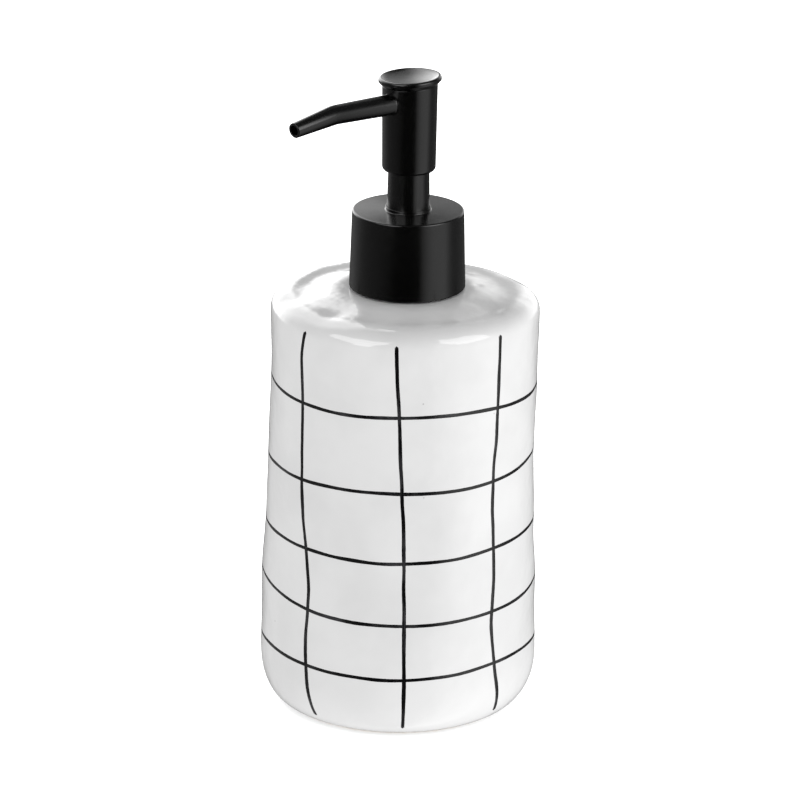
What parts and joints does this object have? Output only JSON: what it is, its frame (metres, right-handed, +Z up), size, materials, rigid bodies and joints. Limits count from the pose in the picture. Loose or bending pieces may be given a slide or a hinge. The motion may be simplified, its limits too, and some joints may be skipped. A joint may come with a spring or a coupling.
{
  "type": "soap pump dispenser",
  "caption": "Round glazed ceramic bottle with a screw-on lotion pump: smooth collar, telescoping press head with a flat cap, and a long slender bent spout.",
  "frame": {"origin": "the pump's axis on the plane that the bottle stands on", "axes": "+Z up along the pump's axis, spout towards -Y"},
  "size_m": [0.0796, 0.0836, 0.1866],
  "materials": {
    "glazed_stoneware": "glossy white glaze with brushed black lines",
    "black_plastic": "polished moulded black",
    "black_inner_plastic": "plain moulded black",
    "natural_plastic": "natural unpigmented polypropylene",
    "tube_plastic": "milky translucent polyethylene",
    "piston_plastic": "soft white polyethylene",
    "seal_rubber": "matt",
    "stainless_steel": "bright drawn and ground"
  },
  "bodies": {
    "bottle_body": {"bottle": "glazed_stoneware", "neck_insert": "natural_plastic"},
    "pump_body": {"neck_gasket": "seal_rubber", "pump_housing": "natural_plastic", "guide_tower": "black_plastic", "stem_wiper": "seal_rubber", "ball_cage": "natural_plastic", "dip_tube": "tube_plastic"},
    "closure": {"closure_shell": "black_plastic", "closure_nut": "black_inner_plastic"},
    "spring_body": {"return_spring": "stainless_steel"},
    "plunger": {"piston_stem": "natural_plastic", "piston_seal": "piston_plastic", "piston_plug": "natural_plastic", "head_shell": "black_plastic", "head_core": "black_inner_plastic", "head_cap": "black_plastic", "spout": "black_plastic"},
    "inlet_valve": {"inlet_ball": "stainless_steel"},
    "outlet_valve": {"outlet_ball": "stainless_steel"}
  },
  "joints": [
    {"name": "pump_lift", "type": "slide", "parent": "bottle_body", "child": "pump_body", "axis": [0, 0, 1], "range_m": [0, 0.00635]},
    {"name": "collar_turn", "type": "hinge", "parent": "pump_body", "child": "closure", "pos_m": [0, 0, 0.1245], "axis": [0, 0, 1], "range_deg": [0, 540]},
    {"name": "head_swivel", "type": "hinge", "parent": "pump_body", "child": "spring_body", "pos_m": [0, 0, 0.105], "axis": [0, 0, 1], "continuous": true},
    {"name": "head_press", "type": "slide", "parent": "spring_body", "child": "plunger", "axis": [0, 0, -1], "range_m": [0, 0.01], "stiffness_N_per_m": 500, "springref_m": -0.012, "deforming": ["return_spring"]},
    {"name": "inlet_ball_lift", "type": "slide", "parent": "pump_body", "child": "inlet_valve", "axis": [0, 0, 1], "range_m": [0, 0.0015]},
    {"name": "outlet_ball_lift", "type": "slide", "parent": "plunger", "child": "outlet_valve", "axis": [0, 0, 1], "range_m": [0, 0.001]}
  ],
  "couplings": [
    {"joint": "pump_lift", "follows": "collar_turn", "m_per_rad": 0.00067375}
  ]
}
